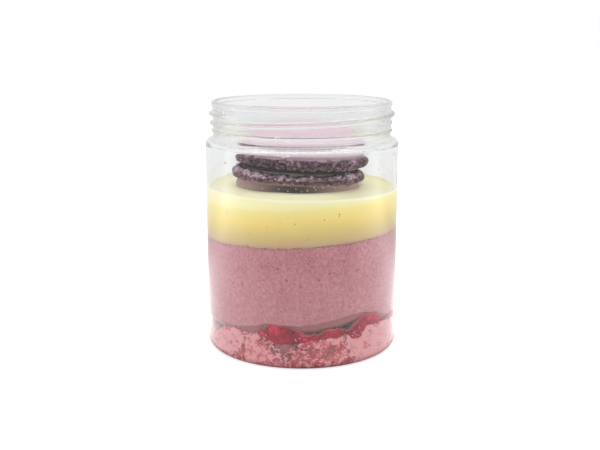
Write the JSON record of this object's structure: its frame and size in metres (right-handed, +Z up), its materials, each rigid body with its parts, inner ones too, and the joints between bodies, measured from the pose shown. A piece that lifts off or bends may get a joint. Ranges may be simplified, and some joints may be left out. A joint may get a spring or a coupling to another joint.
{
  "type": "layered dessert in a clear screw jar",
  "caption": "Layered dessert in a clear wide-mouth screw jar: pink sponge, red compote, pink berry mousse and yellow custard, with a lilac macaron set in the top.",
  "frame": {"origin": "centre of the jar's standing face", "axes": "+Z up through the mouth, -Y towards the shown side"},
  "size_m": [0.07, 0.07, 0.0902],
  "materials": {
    "clear_plastic": "clear gloss PET",
    "sponge": "crumbly, matt",
    "compote": "wet",
    "mousse": "smooth, satin, flecked",
    "custard": "smooth, soft gloss",
    "macaron_shell": "baked almond crust, matt",
    "macaron_filling": "dark jam"
  },
  "bodies": {
    "root": {"jar": "clear_plastic", "sponge_base": "sponge", "berry_compote": "compote", "berry_mousse": "mousse", "custard": "custard", "macaron_bottom_shell": "macaron_shell", "macaron_filling": "macaron_filling", "macaron_top_shell": "macaron_shell"}
  },
  "joints": []
}
